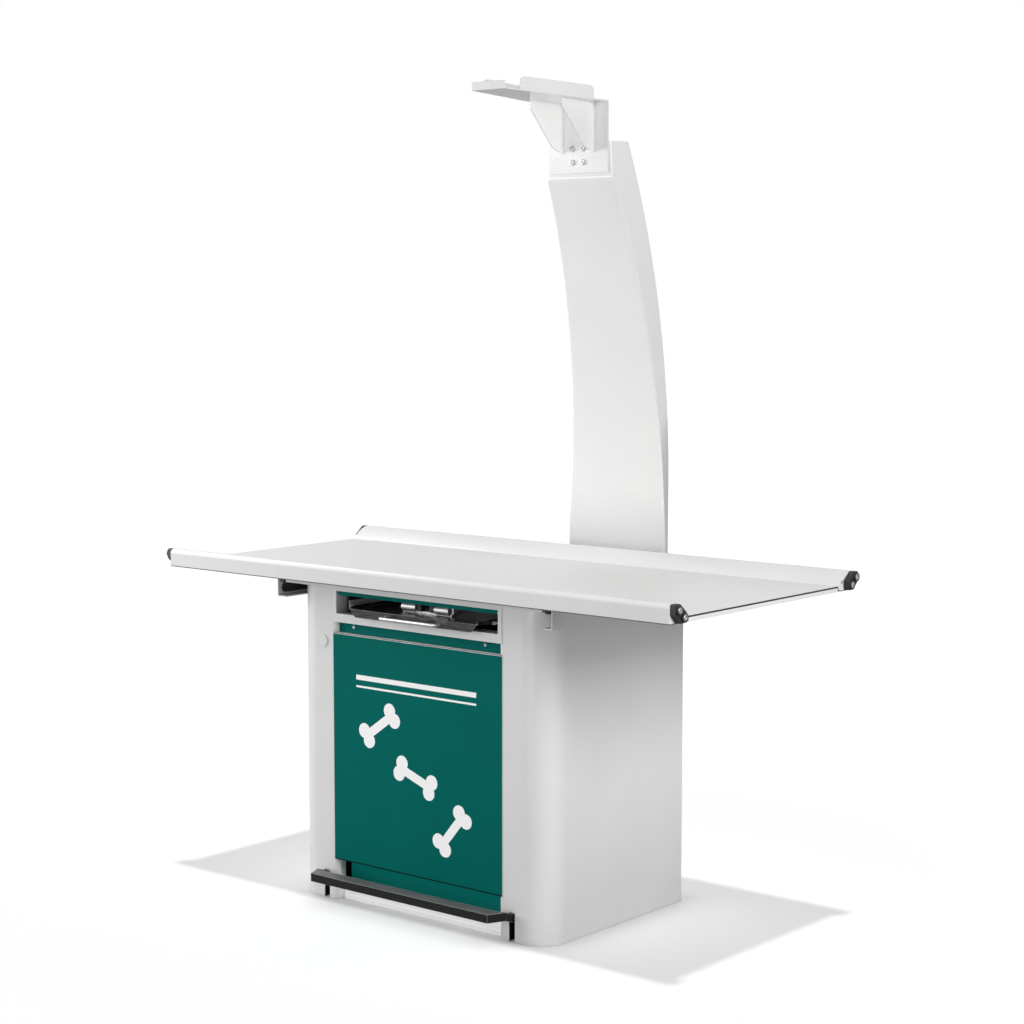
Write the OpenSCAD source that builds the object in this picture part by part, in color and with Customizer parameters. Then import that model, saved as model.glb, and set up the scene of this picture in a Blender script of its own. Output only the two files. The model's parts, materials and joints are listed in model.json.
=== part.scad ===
// X-ray table: fixed cabinet, floating top on a rolling carriage, curved tube column.
// Millimetres. X runs along the table, Y from the front to the back, Z up.
// The origin is on the floor, in the middle of the cabinet.

/* [Cabinet] */
// Width over the side sheets
cabinet_width = 790; // [770:5:800]
// Depth from the posts' front face to the back sheet
cabinet_depth = 525; // [515:5:535]
// Radius of the two upright front corners
corner_radius = 70; // [50:5:75]
// Height of the patient surface above the floor
surface_height = 800; // [790:5:820]

/* [Table top] */
// Length over the side rails
top_length = 1556; // [1500:10:1640]
// Thickness of the flat sheet
sheet_thickness = 4; // [3:0.5:4]
// Height of the convex rail above the sheet
rail_rise = 32; // [30:1:34]

/* [Column] */
// Height of the top of the column
column_height = 1852; // [1830:2:1860]
// Width of the front face at table height
column_width = 316; // [280:1:330]
// Depth of the column, square to its curve
column_depth = 102; // [90:1:110]

/* [Head] */
// Width of the tray at its front lip
head_front_width = 102; // [80:1:120]
// Width of the tray at the column
head_back_width = 194; // [170:1:200]

/* [Cassette tray] */
// Space on each side of the tray, which its slide bridges
tray_gap = 48.5; // [46:0.5:60]
// Width over the handle loop
handle_width = 177; // [140:1:220]

/* [Pedal] */
// How far the pedal arms lie outside the opening between the posts
pedal_reach = 32; // [28:1:34]
// Height of the pedal bar
pedal_bar_height = 20; // [16:1:20]

/* [Hidden] */
$fn = 64;
in_fit = 0.05;
steel = 2;
front_y = -cabinet_depth / 2;
half_cabinet = cabinet_width / 2;
cabinet_top = surface_height - 28;
channel_top = surface_height - 17;
channel_bottom = surface_height - 63;
rail_bottom = surface_height - 13;
sheet_bottom = surface_height - sheet_thickness;
// posts and the opening between them
post_width = 127;
post_edge = half_cabinet - post_width;
roll_radius = 12;
opening_half = post_edge - roll_radius;
return_depth = 43;
face_proud = 1.2;
cap_x = post_edge + 34;
cap_z = 638;
cap_radius = 13;
screw_x = opening_half - 48;
// levels of the front
panel_bottom = 102;
bay_rail_bottom = cabinet_top - 85;
bay_rail_top = cabinet_top - 64;
strip_bottom = bay_rail_bottom - 29;
strip_height = 5;
bay_mouth_top = cabinet_top - 18;
bay_half = opening_half - 6.5;
liner_front = return_depth - 10;
liner_sheet = 1.5;
// carriage
channel_inner = half_cabinet + 8;
channel_outer = half_cabinet + 37;
channel_sheet = 2.5;
channel_start = -25;
top_middle = 302.5;
cross_depth = 45;
carriage_roller_radius = 18;
carriage_roller_z = channel_top - channel_sheet - 0.3 - carriage_roller_radius;
carriage_roller_y = [112, 450];
carriage_roller_x = half_cabinet + 18;
table_roller_radius = 8;
table_roller_z = rail_bottom - 0.3 - table_roller_radius;
table_roller_x = channel_outer - 16.5;
pin_radius = 4;
bracket_y = -6;
liner_radius = 11.5;
liner_z = channel_bottom + 20;
// floating top
half_top = top_length / 2;
top_front = -65;
rail_width = 68;
cap_thickness = 3;
nose_radius = 12;
arc_radius = 113.6;
arc_center = [-15, surface_height + rail_rise - 109.6];
groove_depth = 11.5;
rebate = 0.5;
// brakes and pedal
arm_thickness = 12;
arm_outer = post_edge + pedal_reach;
rod_x = arm_outer + 25;
rod_y = 300;
rod_radius = 5;
plate_half_depth = 112;
pad_height = 6;
brake_plate_bottom = sheet_bottom - 3;
guide_low = 150;
guide_high = 700;
spring_top = 216;
pivot_y = 400;
pivot_z = 30;
shaft_radius = 10;
pedal_top = 77;
pedal_z = pedal_top - pedal_bar_height;
// cassette tray
tray_z = bay_rail_top + 16;
tray_half = bay_half - tray_gap;
runner_half = tray_half + 11;
tray_front = -10;
tray_back = 440;
handle_radius = 4;
jaw_half = 76;
jaw_height = 24;
jaw_front = 36;
rear_jaw_front = 404;
// column
column_front = 778;
column_back_half = 94;
taper_start = surface_height + 60;
front_taper = 0.06;
back_taper = 0.0165;
arc_start = 980;
bend_radius = 1980;
mount_start = column_height - 87;
column_wall = 3;
foot_thickness = 8;
tie_heights = [90, 560];
tie_x = 75;
tie_bolt_pitch = [35, 15];
foot_half = 190;
foot_front = 640;
foot_back_half = 120;
anchor_x = 170;
anchor_y = [665, 765];
anchor_radius = 7;
// head
head_pitch = 34;
head_rise = 34;
head_screw_z = column_height - 33;
plate_thickness = 4;
plate_half = 94;
plate_corner = 8;
head_root = face_y(column_height) - plate_thickness;
head_tray_z = column_height + 96;
head_tray_length = 347;
head_tilt = 1.66;

left_shell();
right_shell();
rear_panel();
cabinet_base();
base_rail();
plinth_panel();
front_panel();
panel_edge_strip();
upper_panel();
panel_screws();
bay_rail();
bay_fascia();
top_rail();
bay_housing();
tray_slides();
post_cap();
roller_pins();
rod_guides();
pedal_bearings();
column();
column_base();
column_ties();
tie_bolts();
head_bracket();
head_tray();
head_screws();
left_channel();
right_channel();
front_cross_rail();
rear_cross_rail();
channel_liners();
table_roller_brackets();
table_keepers();
carriage_roller(-1, 0);  // left_front_carriage_roller
carriage_roller(1, 0);  // right_front_carriage_roller
carriage_roller(-1, 1);  // left_rear_carriage_roller
carriage_roller(1, 1);  // right_rear_carriage_roller
table_roller(-1, 0);  // left_front_table_roller
table_roller(1, 0);  // right_front_table_roller
table_roller(-1, 1);  // left_rear_table_roller
table_roller(1, 1);  // right_rear_table_roller
table_sheet();
front_rail();
rear_rail();
rail_end_plates();
end_buffers();
end_screws();
end_battens();
brake_plate();
pedal_bar();
pedal_shaft();
brake_rod(-1);  // left_brake_rod
brake_rod(1);  // right_brake_rod
brake_spring(-1);  // left_brake_spring
brake_spring(1);  // right_brake_spring
cassette_tray();
tray_handle();
front_jaw();
front_jaw_grips();
rear_jaw();

// helpers

// moves a piece drawn from the posts' front face into the shared frame
module from_front() {
    translate([0, front_y, 0]) children();
}

// a box from its low corner to its high corner
module block(low, high) {
    translate(low) cube(high - low);
}

// a box centred across the table
module wide(half, y1, y2, z1, z2) {
    block([-half, y1, z1], [half, y2, z2]);
}

// the same shape on the left and on the right
module both_sides() {
    children();
    mirror([1, 0, 0]) children();
}

// the same shape at the front and at the back of the carriage
module both_ends() {
    children();
    translate([0, 2 * top_middle, 0]) mirror([0, 1, 0]) children();
}

module side(s) {
    if (s > 0) children();
    else mirror([1, 0, 0]) children();
}

// a flat outline in Y and Z, made solid from x1 to x2
module across(x1, x2) {
    translate([x1, 0, 0]) rotate([90, 0, 90]) linear_extrude(x2 - x1) children();
}

// a flat outline in X and Z, made solid from y1 to y2
module along_depth(y1, y2) {
    translate([0, y2, 0]) rotate([90, 0, 0]) linear_extrude(y2 - y1) children();
}

// a round bar from x1 to x2
module bar_x(x1, x2, y, z, r) {
    translate([x1, y, z]) rotate([0, 90, 0]) cylinder(r = r, h = x2 - x1);
}

// a round bar from y1 to y2
module bar_y(x, y1, y2, z, r) {
    translate([x, y1, z]) rotate([-90, 0, 0]) cylinder(r = r, h = y2 - y1);
}

// cabinet

// plan of one side shell: back return, side, round corner, post and rolled edge
module shell_plan() {
    translate([half_cabinet - 45, cabinet_depth - steel]) square([45, steel]);
    translate([half_cabinet - steel, corner_radius]) square([steel, cabinet_depth - corner_radius]);
    translate([half_cabinet - corner_radius, corner_radius]) difference() {
        intersection() {
            circle(corner_radius);
            translate([0, -corner_radius]) square(corner_radius);
        }
        circle(corner_radius - steel);
    }
    translate([post_edge, 0]) square([half_cabinet - corner_radius - post_edge, steel]);
    translate([post_edge, roll_radius]) difference() {
        intersection() {
            circle(roll_radius);
            translate([-roll_radius, -roll_radius]) square(roll_radius);
        }
        circle(roll_radius - steel);
    }
    translate([opening_half, roll_radius]) square([steel, return_depth - roll_radius]);
}

module shell_body() {
    difference() {
        linear_extrude(cabinet_top) shell_plan();
        // slot for the pedal arm
        block([arm_outer - arm_thickness - 2, -1, -1], [arm_outer + 4, steel + 1, 69]);
        // notch in the edge's return, beside the recessed plinth
        block([opening_half - 1, 26, -1], [opening_half + 3, return_depth + 1, panel_bottom]);
        for (y = carriage_roller_y)
            bar_x(half_cabinet - 10, half_cabinet + 5, y, carriage_roller_z, 4 + in_fit);
    }
}

module left_shell() {
    color("white") from_front() mirror([1, 0, 0]) difference() {
        shell_body();
        bar_y(cap_x, -1, steel + 1, cap_z, cap_radius);
    }
}

module right_shell() {
    color("white") from_front() shell_body();
}

module rear_panel() {
    color("white") from_front() difference() {
        wide(half_cabinet - 10, cabinet_depth, cabinet_depth + 1.5, 20, cabinet_top - 8);
        both_sides() tie_bolt_places()
            bar_y(0, cabinet_depth - 2, cabinet_depth + 4, 0, pin_radius + in_fit);
    }
}

module cabinet_base() {
    color("dimgray") from_front() {
        wide(half_cabinet - steel, 76, cabinet_depth - steel, 0, 3);
        both_sides() block([half_cabinet - steel - 3, 76, 3],
            [half_cabinet - steel, cabinet_depth - steel, 40]);
        wide(half_cabinet - 60, cabinet_depth - steel, cabinet_depth, 0, 40);
    }
}

module base_rail() {
    color("white") from_front() {
        wide(opening_half, 22, 24, 12, 40);
        wide(opening_half, 21, 24, 2, 12);
        wide(opening_half, 21, 76, 0, 2);
    }
}

module plinth_panel() {
    color("teal") from_front() {
        wide(opening_half - 1, 45, 46.5, 2, panel_bottom + 14);
        wide(opening_half - 1, 46.5, 65, 2, 3.5);
    }
}

module front_panel() {
    inner = opening_half - 2;
    color("teal") from_front() {
        wide(post_edge - 2, -face_proud, 0, panel_bottom, strip_bottom);
        both_sides() block([inner - 1.2, 0, panel_bottom], [inner, 18, strip_bottom]);
        wide(inner - 1.2, 0, 18, panel_bottom, panel_bottom + 1.2);
        wide(inner - 1.2, 0, 18, strip_bottom - 1.2, strip_bottom);
    }
}

module panel_edge_strip() {
    top = strip_bottom + strip_height;
    color("silver") from_front() difference() {
        union() {
            wide(post_edge - 2, -face_proud, 0, strip_bottom, top);
            wide(opening_half - 2, 0, 11, strip_bottom, top);
        }
        // groove along its face
        wide(post_edge, -face_proud - 1, -0.4, strip_bottom + 1.8, top - 1.8);
    }
}

module upper_panel() {
    color("teal") from_front() difference() {
        wide(opening_half - 0.7, 11, 12.2, strip_bottom, bay_rail_bottom);
        both_sides() bar_y(screw_x, 8, 15, bay_rail_bottom - 10, 2 + in_fit);
    }
}

// two in the narrow panel and eight in the back panel's edges
module panel_screws() {
    color("silver") from_front() {
        both_sides() {
            bar_y(screw_x, 9, 11, bay_rail_bottom - 10, 4);
            bar_y(screw_x, 11, 18, bay_rail_bottom - 10, 2);
        }
        for (i = [0:3]) both_sides()
            bar_y(half_cabinet - 24, cabinet_depth + 1.5, cabinet_depth + 4.5, 110 + 180 * i, 5);
    }
}

module bay_rail() {
    color("white") from_front() {
        wide(post_edge - 1, -face_proud, 0, bay_rail_bottom, bay_rail_top);
        wide(opening_half, 0, return_depth, bay_rail_top - steel, bay_rail_top);
        wide(opening_half, 0, roll_radius, bay_rail_bottom, bay_rail_bottom + steel);
        // upright ends that frame the mouth of the bay
        both_sides() block([opening_half - 1, -face_proud, bay_rail_top],
            [post_edge - 2, 0, bay_mouth_top + 9]);
    }
}

module bay_fascia() {
    half = opening_half - 2;
    color("teal") from_front() along_depth(-face_proud, 2)
        polygon([[-half, bay_mouth_top + 9], [5 - half, bay_mouth_top], [half - 5, bay_mouth_top],
            [half, bay_mouth_top + 9]]);
}

module top_rail() {
    color("white") from_front() {
        wide(post_edge - 1, -face_proud, 0, bay_mouth_top + 9, cabinet_top);
        wide(opening_half, 0, 2, bay_mouth_top + 9, cabinet_top);
        wide(opening_half, 2, 4, bay_mouth_top, cabinet_top);
        wide(opening_half, 4, return_depth, cabinet_top - steel, cabinet_top);
    }
}

module bay_housing() {
    wall = bay_half - liner_sheet;
    low = bay_rail_top + liner_sheet;
    top = cabinet_top - 9;
    color("black") from_front() {
        wide(bay_half, liner_front, cabinet_depth, bay_rail_top, low);
        both_sides() block([wall, liner_front, low], [bay_half, cabinet_depth, top]);
        both_sides() block([bay_half, liner_front, top - liner_sheet], [opening_half, cabinet_depth, top]);
        wide(wall, cabinet_depth - liner_sheet, cabinet_depth, low, top);
    }
}

module slide_profile() {
    wall = bay_half - liner_sheet;
    z = tray_z;
    translate([runner_half - 7, z + 2.2]) square([8, 2]);
    translate([runner_half + 1, z - 2.8]) square([2, 7]);
    translate([runner_half - 7, z - 2.8]) square([8, 2.4]);
    translate([runner_half + 3, z]) square([wall - runner_half - 3, 2]);
    translate([wall - 2, z - 8]) square([2, 20]);
}

module tray_slides() {
    color("white") from_front() both_sides() along_depth(liner_front + 3, cabinet_depth - 35) slide_profile();
}

module post_cap() {
    color("white") from_front() {
        bar_y(-cap_x, -2.5, 0, cap_z, cap_radius + 2);
        bar_y(-cap_x, 0, 6, cap_z, cap_radius - in_fit);
    }
}

module roller_pins() {
    color("silver") from_front() both_sides() for (y = carriage_roller_y) {
        bar_x(half_cabinet - 9, half_cabinet + 26.3, y, carriage_roller_z, 4);
        bar_x(half_cabinet - 9, half_cabinet - steel, y, carriage_roller_z, 7);
        bar_x(half_cabinet, half_cabinet + 9.7, y, carriage_roller_z, 7);
        bar_x(half_cabinet + 26.3, half_cabinet + 30, y, carriage_roller_z, 7);
    }
}

module rod_guides() {
    color("gray") from_front() both_sides() for (z = [guide_low, guide_high]) {
        difference() {
            block([rod_x - 14, rod_y - 15, z], [half_cabinet - steel, rod_y + 15, z + 6]);
            translate([rod_x, rod_y, z - 1]) cylinder(r = rod_radius + in_fit, h = 8);
        }
        block([half_cabinet - steel - 3, rod_y - 15, z - 20], [half_cabinet - steel, rod_y + 15, z]);
    }
}

module pedal_bearings() {
    color("gray") from_front() both_sides() difference() {
        union() {
            across(arm_outer + 4, arm_outer + 34) {
                translate([pivot_y, pivot_z]) circle(20);
                translate([pivot_y - 20, 3]) square([40, pivot_z - 3]);
                translate([pivot_y - 34, 3]) square([68, 6]);
            }
        }
        bar_x(arm_outer, arm_outer + 40, pivot_y, pivot_z, shaft_radius + in_fit);
    }
}

// column

// width, depth and place of the column's section at height z, made smaller by inset
function column_half(z) =
    column_width / 2 - (z > taper_start ? front_taper * (z - taper_start) : 0);
function back_half(z) = column_back_half + (z > taper_start ? back_taper * (z - taper_start) : 0);
function face_y(z) = z <= arc_start ? column_front
    : column_front - bend_radius + sqrt(pow(bend_radius, 2) - pow(min(z, mount_start) - arc_start, 2));
function back_y(z) = column_front - bend_radius
    + (z <= arc_start ? bend_radius + column_depth
        : sqrt(pow(bend_radius + column_depth, 2) - pow(z - arc_start, 2)));

// one rounded corner: a quadratic curve from a to c around corner b, cut back by d
function unit(v) = v / norm(v);
function bend(a, b, c, d, n) = [for (i = [0:n])
    let (t = i / n, p = b + d * unit(a - b), q = b + d * unit(c - b))
    (1 - t) * (1 - t) * p + 2 * t * (1 - t) * b + t * t * q];

function section(z, inset) =
    let (f = face_y(z) + inset, r = back_y(z) - inset,
        wf = column_half(z) - inset, wb = back_half(z) - inset,
        fl = [-wf, f], fr = [wf, f], br = [wb, r], bl = [-wb, r])
    concat(bend(fl, fr, br, 4, 3), bend(fr, br, bl, 22, 6),
        bend(br, bl, fl, 22, 6), bend(bl, fl, fr, 4, 3));

module column_loft(low, high, inset) {
    steps = 16;
    levels = concat([low, taper_start], [for (i = [0:steps])
        arc_start + (mount_start - arc_start) * i / steps], [(mount_start + high) / 2, high]);
    rings = [for (z = levels) [for (p = section(z, inset)) [p[0], p[1], z]]];
    count = len(rings[0]);
    points = [for (ring = rings) each ring];
    sides = [for (k = [0:len(levels) - 2], i = [0:count - 1], half = [0, 1])
        let (a = k * count + i, b = k * count + (i + 1) % count)
        half == 0 ? [a, a + count, b + count] : [a, b + count, b]];
    bottom = [[for (i = [0:count - 1]) i]];
    top = [[for (i = [count - 1:-1:0]) (len(levels) - 1) * count + i]];
    polyhedron(points = points, faces = concat(sides, bottom, top));
}

module column() {
    color("gainsboro") from_front() difference() {
        column_loft(foot_thickness, column_height, 0);
        column_loft(foot_thickness - 1, column_height - column_wall, column_wall);
        for (x = [-1, 1], z = [0, 1])
            bar_y(x * head_pitch / 2, head_root - 20, head_root + 30,
                head_screw_z + (z - 0.5) * head_rise, pin_radius + in_fit, $fn = 24);
    }
}

module column_base() {
    back = column_front + column_depth + 10;
    color("gainsboro") from_front() difference() {
        linear_extrude(foot_thickness) polygon([[-foot_half, foot_front], [foot_half, foot_front],
            [foot_half, column_front + 12], [foot_back_half, back], [-foot_back_half, back],
            [-foot_half, column_front + 12]]);
        both_sides() for (y = anchor_y)
            translate([anchor_x, y, -1]) cylinder(r = anchor_radius, h = foot_thickness + 2);
    }
}

// the four bolt places of each tie beam on the right side
module tie_bolt_places() {
    for (z = tie_heights, dx = [-1, 1], dz = [-1, 1])
        translate([tie_x + dx * tie_bolt_pitch[0], 0, z + dz * tie_bolt_pitch[1]]) children();
}

// box beams with an open inside and two ears on the cabinet's back
module column_ties() {
    back = cabinet_depth + 1.5;
    color("gray") from_front() both_sides() difference() {
        for (z = tie_heights) {
            block([tie_x - 25, back, z - 25], [tie_x + 25, column_front, z + 25]);
            block([tie_x - 47, back, z - 25], [tie_x + 47, back + 5, z + 25]);
        }
        for (z = tie_heights)
            block([tie_x - 22, back + 5, z - 22], [tie_x + 22, column_front - 5, z + 22]);
        tie_bolt_places() bar_y(0, back - 1, back + 6, 0, pin_radius + in_fit);
    }
}

module tie_bolts() {
    back = cabinet_depth + 1.5;
    color("silver") from_front() both_sides() tie_bolt_places() {
        bar_y(0, cabinet_depth - 1, back + 5, 0, pin_radius);
        bar_y(0, back + 5, back + 10, 0, 6.5, $fn = 6);
        bar_y(0, cabinet_depth - 6, cabinet_depth, 0, 6.5, $fn = 6);
    }
}

// head

function head_floor(y) = head_tray_z + (head_root - y) * tan(head_tilt);

// back plate with rounded upper corners and two gussets
module head_bracket() {
    low = column_height - 76.5;
    high = column_height + 97;
    nose = head_root - 126;
    color("gainsboro") from_front() {
        difference() {
            along_depth(head_root, head_root + plate_thickness) {
                translate([-plate_half, low]) square([2 * plate_half, high - plate_corner - low]);
                translate([plate_corner - plate_half, low])
                    square([2 * (plate_half - plate_corner), high - low]);
                for (x = [-1, 1])
                    translate([x * (plate_half - plate_corner), high - plate_corner])
                        circle(plate_corner);
            }
            for (x = [-1, 1], z = [0, 1])
                bar_y(x * head_pitch / 2, head_root - 10, head_root + 10,
                    head_screw_z + (z - 0.5) * head_rise, pin_radius + in_fit);
        }
        both_sides() across(48, 52) polygon([[nose, head_floor(nose)], [nose, column_height + 78],
            [nose + 87, column_height - 14], [head_root, column_height - 26],
            [head_root, head_floor(head_root)]]);
    }
}

// side flange of the head tray: a low foot and a higher middle with round corners
module tray_flange() {
    low = [246, 17];
    high = [246, 32];
    corner = 15;
    square(low);
    translate([corner, 0]) square([high[0] - 2 * corner, high[1]]);
    for (y = [corner, high[0] - corner]) translate([y, high[1] - corner]) circle(corner);
}

module head_tray() {
    fore = head_front_width / 2;
    aft = head_back_width / 2;
    flare = atan((aft - fore) / head_tray_length);
    color("gainsboro") from_front() translate([0, head_root, head_tray_z]) rotate([-head_tilt, 0, 0]) {
        linear_extrude(3) polygon([[-fore, -head_tray_length], [fore, -head_tray_length],
            [aft, 0], [-aft, 0]]);
        block([-fore, -head_tray_length, 3], [fore, 3 - head_tray_length, 20]);
        both_sides() translate([fore, -head_tray_length, 0]) rotate([0, 0, -flare])
            translate([-3.2, 52, 2]) rotate([90, 0, 90]) linear_extrude(3) tray_flange();
    }
}

module head_screws() {
    color("silver") from_front() for (x = [-1, 1], z = [0, 1]) {
        high = head_screw_z + (z - 0.5) * head_rise;
        bar_y(x * head_pitch / 2, head_root - 4, head_root, high, 7);
        bar_y(x * head_pitch / 2, head_root, head_root + 14, high, pin_radius);
    }
}

// carriage

module channel() {
    end = 2 * top_middle - channel_start;
    difference() {
        block([channel_inner, channel_start, channel_bottom], [channel_outer, end, channel_top]);
        block([channel_inner - 1, channel_start - 1, channel_bottom + channel_sheet],
            [channel_outer - channel_sheet, end + 1, channel_top - channel_sheet]);
        // open ends above the table rollers
        both_ends() block([channel_inner - 1, channel_start - 1, channel_top - 3],
            [channel_outer - channel_sheet, bracket_y, channel_top + 1]);
    }
}

module left_channel() {
    color("white") from_front() mirror([1, 0, 0]) channel();
}

module right_channel() {
    color("white") from_front() channel();
}

module cross_rail() {
    difference() {
        wide(channel_inner, channel_start, channel_start + cross_depth, cabinet_top + 2, channel_top);
        wide(channel_inner - 6, channel_start + 2.5, channel_start + cross_depth + 1,
            cabinet_top + 1, channel_top - 2.5);
    }
}

module front_cross_rail() {
    color("white") from_front() cross_rail();
}

module rear_cross_rail() {
    color("white") from_front() translate([0, 2 * top_middle, 0]) mirror([0, 1, 0]) cross_rail();
}

// black strips with round ends along the inside of both channels
module channel_liners() {
    web = channel_outer - channel_sheet;
    start = channel_start + 11 + liner_radius;
    end = 2 * top_middle - start;
    color("black") from_front() both_sides() across(web - 2, web) {
        translate([start, liner_z - liner_radius]) square([end - start, 2 * liner_radius]);
        for (y = [start, end]) translate([y, liner_z]) circle(liner_radius);
    }
}

module table_roller_brackets() {
    web = channel_outer - channel_sheet;
    color("gray") from_front() both_ends() both_sides() {
        block([table_roller_x - 9, bracket_y, table_roller_z - 8],
            [web, bracket_y + 8, channel_top - channel_sheet]);
        bar_y(table_roller_x, -22.5, bracket_y, table_roller_z, pin_radius);
        bar_y(table_roller_x, bracket_y - 2.2, bracket_y, table_roller_z, pin_radius + 2);
        bar_y(table_roller_x, -24.5, -22.5, table_roller_z, pin_radius + 2);
    }
}

// tongues that reach into the slot of each side rail, so that the top cannot lift
module table_keepers() {
    outer = channel_inner - 7;
    inner = outer - 20;
    color("gray") from_front() both_ends() both_sides() {
        block([inner, 4, channel_top], [outer, 18, channel_top + 2]);
        block([inner, 8, channel_top + 2], [outer, 10, rail_bottom + 5.2]);
        block([inner, -12, rail_bottom + 3.2], [outer, 8, rail_bottom + 5.2]);
    }
}

module carriage_roller(s, which) {
    color("dimgray") from_front() side(s) difference() {
        bar_x(carriage_roller_x - 8, carriage_roller_x + 8, carriage_roller_y[which],
            carriage_roller_z, carriage_roller_radius);
        bar_x(carriage_roller_x - 9, carriage_roller_x + 9, carriage_roller_y[which],
            carriage_roller_z, pin_radius + in_fit);
    }
}

module front_table_roller() {
    difference() {
        bar_y(table_roller_x, -22.2, bracket_y - 2.5, table_roller_z, table_roller_radius);
        bar_y(table_roller_x, -23, bracket_y, table_roller_z, pin_radius + in_fit);
    }
}

module table_roller(s, which) {
    color("black") from_front() side(s) {
        if (which == 0) front_table_roller();
        else translate([0, 2 * top_middle, 0]) mirror([0, 1, 0]) front_table_roller();
    }
}

// floating top

// outside of the rail: upright face, round nose, long convex arc and foot
module rail_shape() {
    nose_z = surface_height + rail_rise - nose_radius + 0.3;
    difference() {
        union() {
            translate([0, rail_bottom]) square([nose_radius + 3.2, nose_z - rail_bottom]);
            translate([nose_radius, nose_z]) circle(nose_radius);
            intersection() {
                translate(arc_center) circle(arc_radius);
                translate([nose_radius + 3.2, rail_bottom]) square([rail_width - nose_radius - 3.2, 60]);
            }
        }
        translate([0, rail_bottom]) polygon([[rail_width + 1, -1], [rail_width + 1, 13],
            [rail_width, 13], [rail_width - 2, 9], [rail_width - 9, 0], [rail_width - 9, -1]]);
    }
}

// hollow rail with a groove for the sheet and a slot for the keepers
module rail_section() {
    nose_z = surface_height + rail_rise - nose_radius + 0.3;
    difference() {
        rail_shape();
        translate([3, rail_bottom + 2.5]) square([nose_radius, nose_z - rail_bottom - 2.5]);
        translate([nose_radius, nose_z]) circle(nose_radius - 3);
        intersection() {
            translate(arc_center) circle(arc_radius - 3);
            translate([nose_radius + 3, rail_bottom + 2.5]) square([35, 60]);
        }
        translate([rail_width - groove_depth, sheet_bottom]) square([20, sheet_thickness - rebate]);
        translate([49, rail_bottom + 2.5]) square([30, 3.5]);
    }
}

module front_rail_body() {
    end = half_top - cap_thickness;
    difference() {
        translate([0, top_front, 0]) across(-end, end) rail_section();
        both_sides() bar_x(end - 22, end + 1, top_front + 51.5, surface_height + 8.5, 2 + in_fit);
    }
}

module front_rail() {
    color("white") from_front() front_rail_body();
}

module rear_rail() {
    color("white") from_front() translate([0, 2 * top_middle, 0]) mirror([0, 1, 0]) front_rail_body();
}

// flat sheet whose long edges, stepped down by the rebate, sit in the rails' grooves
module table_sheet() {
    edge = top_front + rail_width;
    tongue = groove_depth - 0.5;
    color("whitesmoke") from_front() {
        block([-half_top, edge, sheet_bottom], [half_top, 2 * top_middle - edge, surface_height]);
        block([cap_thickness - half_top, edge - tongue, sheet_bottom],
            [half_top - cap_thickness, 2 * top_middle - edge + tongue, surface_height - rebate]);
    }
}

buffer_low = [32, surface_height + 1];
buffer_high = [13, surface_height + 18];
boss_radius = 10;

module rail_end_plates() {
    end = half_top - cap_thickness;
    color("white") from_front() both_ends() both_sides() difference() {
        translate([0, top_front, 0]) across(end, half_top) rail_shape();
        bar_x(end - 1, half_top + 1, top_front + 51.5, surface_height + 8.5, 2 + in_fit);
        for (p = [buffer_low, buffer_high])
            bar_x(end - 1, half_top + 1, top_front + p[0], p[1], 2 + in_fit);
    }
}

// black block with two bosses, each around a sunk screw
module end_buffers() {
    color("black") from_front() both_ends() both_sides() difference() {
        union() {
            translate([0, top_front, surface_height]) across(half_top, half_top + 13)
                polygon([[1, 8], [1, 28], [4, 31], [20, 31], [44, 11], [44, -6], [39, -11], [20, -11]]);
            for (p = [buffer_low, buffer_high])
                bar_x(half_top + 13, half_top + 19, top_front + p[0], p[1], boss_radius);
        }
        for (p = [buffer_low, buffer_high]) {
            bar_x(half_top - 1, half_top + 20, top_front + p[0], p[1], 2 + in_fit);
            bar_x(half_top + 17, half_top + 20, top_front + p[0], p[1], boss_radius - 3 + in_fit);
        }
    }
}

module end_screws() {
    end = half_top - cap_thickness;
    color("silver") from_front() both_ends() both_sides() {
        bar_x(half_top, half_top + 2, top_front + 51.5, surface_height + 8.5, 4);
        bar_x(end - 18, half_top, top_front + 51.5, surface_height + 8.5, 2);
        for (p = [buffer_low, buffer_high]) {
            bar_x(half_top + 17, half_top + 19.5, top_front + p[0], p[1], boss_radius - 3);
            bar_x(end - 6, half_top + 17, top_front + p[0], p[1], 2);
        }
    }
}

module end_battens() {
    edge = top_front + rail_width + 0.4;
    color("white") from_front() both_sides()
        block([half_top - 10, edge, rail_bottom], [half_top, 2 * top_middle - edge, sheet_bottom]);
}

module brake_plate() {
    color("silver") from_front()
        wide(half_top - 158, rod_y - plate_half_depth, rod_y + plate_half_depth,
            brake_plate_bottom, sheet_bottom);
}

// pedal and brakes

module pedal_bar() {
    front = -70;
    rear = -33;
    corner = [19, 42];
    inner = arm_outer - arm_thickness;
    color("black") from_front() {
        difference() {
            translate([0, 0, pedal_z]) linear_extrude(pedal_bar_height) {
                polygon([[corner[0] - arm_outer, front], [arm_outer - corner[0], front],
                    [arm_outer, front + corner[1]], [inner, front + corner[1]], [inner, rear],
                    [-inner, rear], [-inner, front + corner[1]], [-arm_outer, front + corner[1]]]);
            }
            // folded sheet, open underneath
            wide(arm_outer - 24, front + 3, rear - 3, pedal_z - 1, pedal_top - 3);
        }
        both_sides() difference() {
            across(inner, arm_outer) {
                polygon([[front + corner[1], pedal_z], [front + corner[1], pedal_top], [0, 67],
                    [pivot_y, pivot_z + 10], [pivot_y, pivot_z - 10], [0, 47]]);
                translate([pivot_y, pivot_z]) circle(16);
            }
            bar_x(arm_outer - 20, arm_outer + 5, pivot_y, pivot_z, shaft_radius + in_fit);
        }
    }
}

module pedal_shaft() {
    half = arm_outer + 32;
    color("silver") from_front() bar_x(-half, half, pivot_y, pivot_z, shaft_radius);
}

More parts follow.
